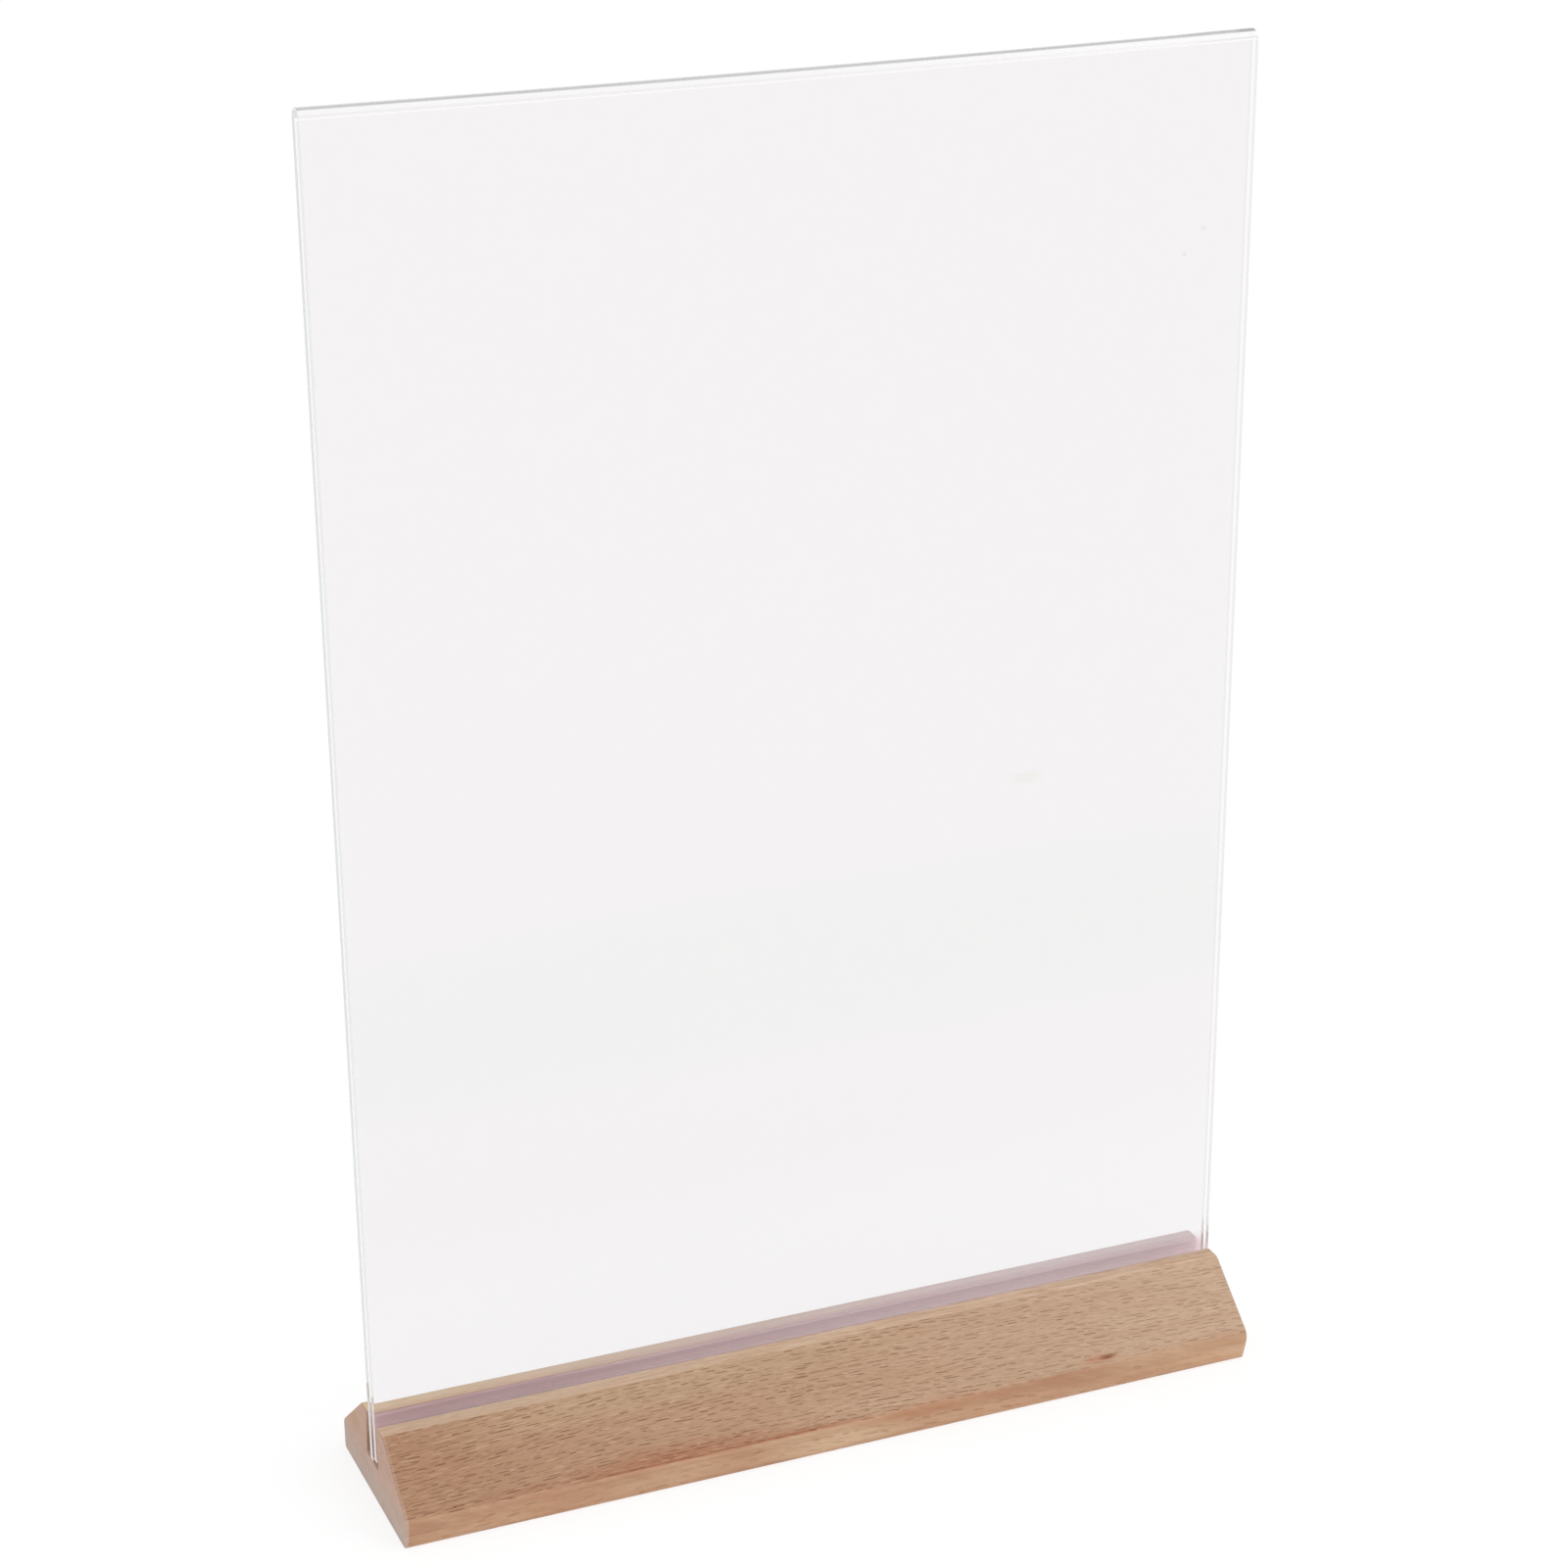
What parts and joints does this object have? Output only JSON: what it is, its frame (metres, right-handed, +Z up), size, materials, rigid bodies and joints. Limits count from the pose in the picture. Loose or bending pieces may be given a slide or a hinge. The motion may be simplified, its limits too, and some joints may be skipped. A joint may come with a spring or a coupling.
{
  "type": "sign holder",
  "caption": "Freestanding upright sign holder: a clear acrylic sleeve, folded at the top and open at the sides, standing in a slotted beech base with sloping sides.",
  "frame": {"origin": "centre of the part's footprint, on the surface that the base rests on", "axes": "+X along the base, -Y toward the front, +Z up"},
  "size_m": [0.21, 0.048, 0.313],
  "materials": {
    "beech": "sanded bare beech with a thin matt oil",
    "clear_acrylic": "clear polished sheet"
  },
  "bodies": {
    "base": {"wood_base": "beech"},
    "sleeve": {"acrylic_sleeve": "clear_acrylic"}
  },
  "joints": [
    {"name": "sleeve_lift", "type": "slide", "parent": "base", "child": "sleeve", "axis": [0, 0, 1], "range_m": [0, 0.014]}
  ]
}
